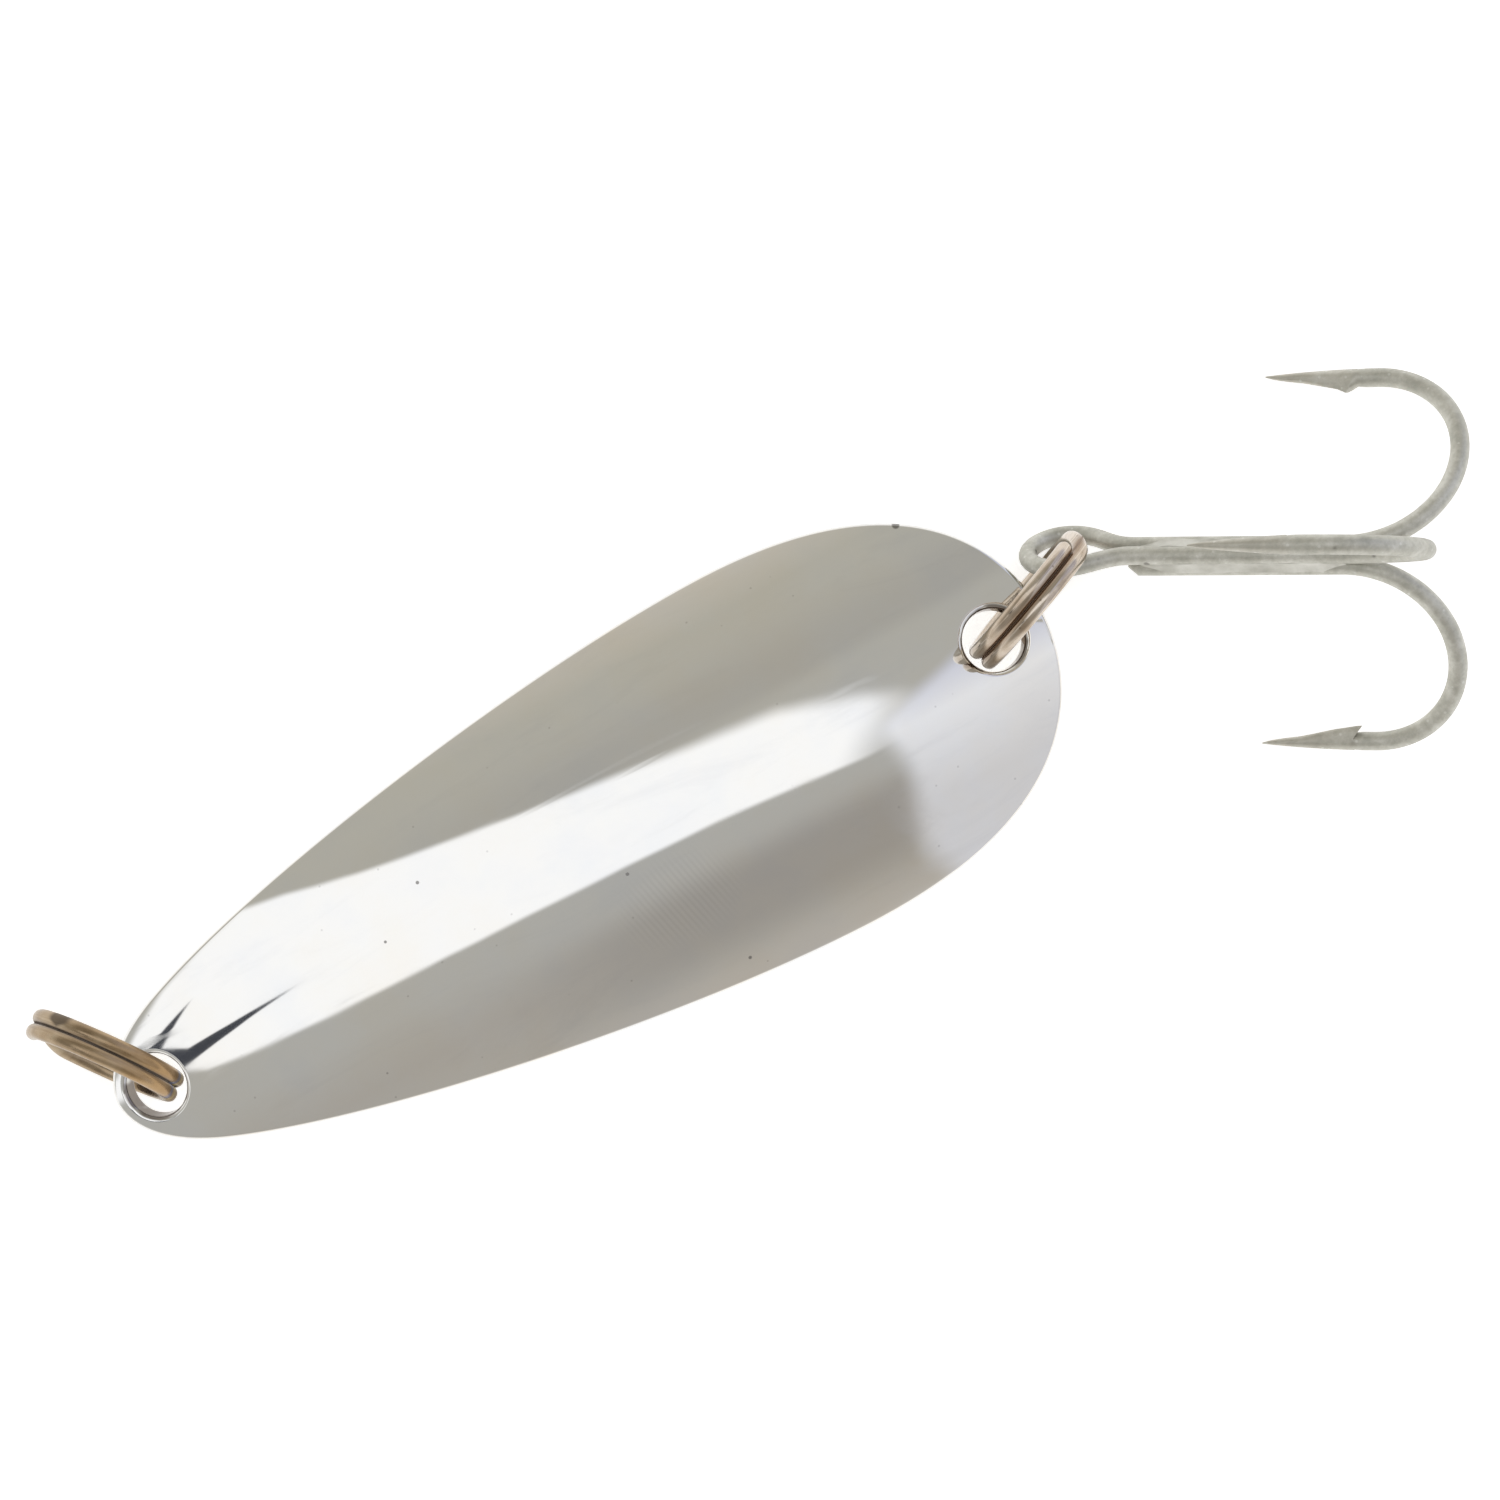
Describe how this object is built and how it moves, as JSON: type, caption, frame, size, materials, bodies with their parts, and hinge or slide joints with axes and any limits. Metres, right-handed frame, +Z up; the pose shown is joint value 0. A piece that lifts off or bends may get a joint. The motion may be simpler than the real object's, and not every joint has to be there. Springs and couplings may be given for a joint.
{
  "type": "spoon lure",
  "caption": "Stamped teardrop metal blade, crowned and bent lengthwise, with a split ring at each end and a barbed treble hook on the rear ring.",
  "frame": {"origin": "middle of the bounding box's foot, on the table that the lure lies on", "axes": "+X along the blade from the line ring's end to the hook's end, +Y to the blade's left seen from its outer face, +Z up, away from the table"},
  "size_m": [0.0838, 0.0262, 0.0191],
  "materials": {
    "polished_nickel": "mirror-polished nickel plate with fine wear scratches",
    "tarnished_bronze": "nickel worn and tarnished to golden brown, with iridescent stains",
    "nickel_wire": "bright nickel wire, slightly browned",
    "tinned_steel": "dull grainy tin coating",
    "braze": "dull braze under the same tin coating"
  },
  "bodies": {
    "blade_body": {"blade": "polished_nickel"},
    "line_ring_body": {"line_tie_ring": "tarnished_bronze"},
    "hook_ring_body": {"hook_ring": "nickel_wire"},
    "treble_body": {"treble_double_hook": "tinned_steel", "treble_single_hook": "tinned_steel", "braze_bead_double": "braze", "braze_bead_left": "braze", "braze_bead_right": "braze"}
  },
  "joints": [
    {"name": "line_tie_ring_swing", "type": "hinge", "parent": "blade_body", "child": "line_ring_body", "pos_m": [-0.03856, 0.00459, 0.0033], "axis": [0.7756, 0.6016, -0.1908], "range_deg": [-150, 0]},
    {"name": "hook_ring_swing", "type": "hinge", "parent": "blade_body", "child": "hook_ring_body", "pos_m": [0.0159, 0.00318, 0.00212], "axis": [0.381, -0.9245, -0.0105], "range_deg": [-150, 0]},
    {"name": "treble_swing", "type": "hinge", "parent": "hook_ring_body", "child": "treble_body", "pos_m": [0.0199, 0.00483, 0.00221], "axis": [0.5203, 0.2051, 0.829], "range_deg": [-60, 60]}
  ]
}
